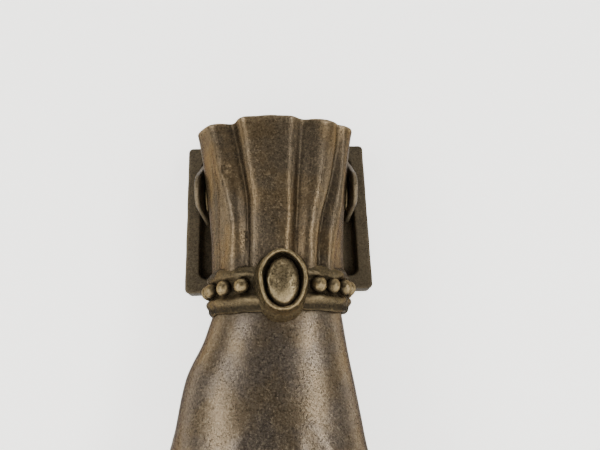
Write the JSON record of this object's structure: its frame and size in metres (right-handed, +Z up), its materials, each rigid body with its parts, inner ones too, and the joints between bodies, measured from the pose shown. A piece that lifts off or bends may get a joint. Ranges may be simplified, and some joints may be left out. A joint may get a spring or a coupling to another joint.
{
  "type": "hand door knocker",
  "caption": "Door knocker: a cast hand in a fluted cuff and beaded bracelet, holding a ball, hinged between two ears on a sunk door plate, with its strike.",
  "frame": {"origin": "centre of the door plate's back face, on the door's surface", "axes": "+X to the viewer's right, +Y into the door, +Z up; the knocker hangs towards -Z and faces -Y"},
  "size_m": [0.0609, 0.0516, 0.1557],
  "materials": {
    "plate_bronze": "dark patinated sand casting",
    "cuff_bronze": "brown patina, rubbed lighter along the folds",
    "bracelet_bronze": "brown patina, dark in the seams, rubbed bright on the beads",
    "stone_bronze": "satin, rubbed lighter, with small pits",
    "hand_bronze": "worn satin patina with casting pits",
    "ball_bronze": "satin, rubbed where it strikes",
    "washer_brass": "plain turned brass",
    "pin_steel": "dull steel, browned with age"
  },
  "bodies": {
    "door_side": {"back_plate": "plate_bronze", "hinge_pin": "pin_steel", "strike_plate": "plate_bronze", "strike_button": "ball_bronze"},
    "knocker": {"side_washers": "washer_brass", "cuff": "cuff_bronze", "bracelet": "bracelet_bronze", "bezel": "bracelet_bronze", "cabochon": "stone_bronze", "hand": "hand_bronze", "wrist_rivet": "pin_steel", "ball": "ball_bronze", "ball_pin": "pin_steel"}
  },
  "joints": [
    {"name": "knocker_swing", "type": "hinge", "parent": "door_side", "child": "knocker", "pos_m": [0, -0.0148, 0.0046], "axis": [-1, 0, 0], "range_deg": [0, 55]}
  ]
}
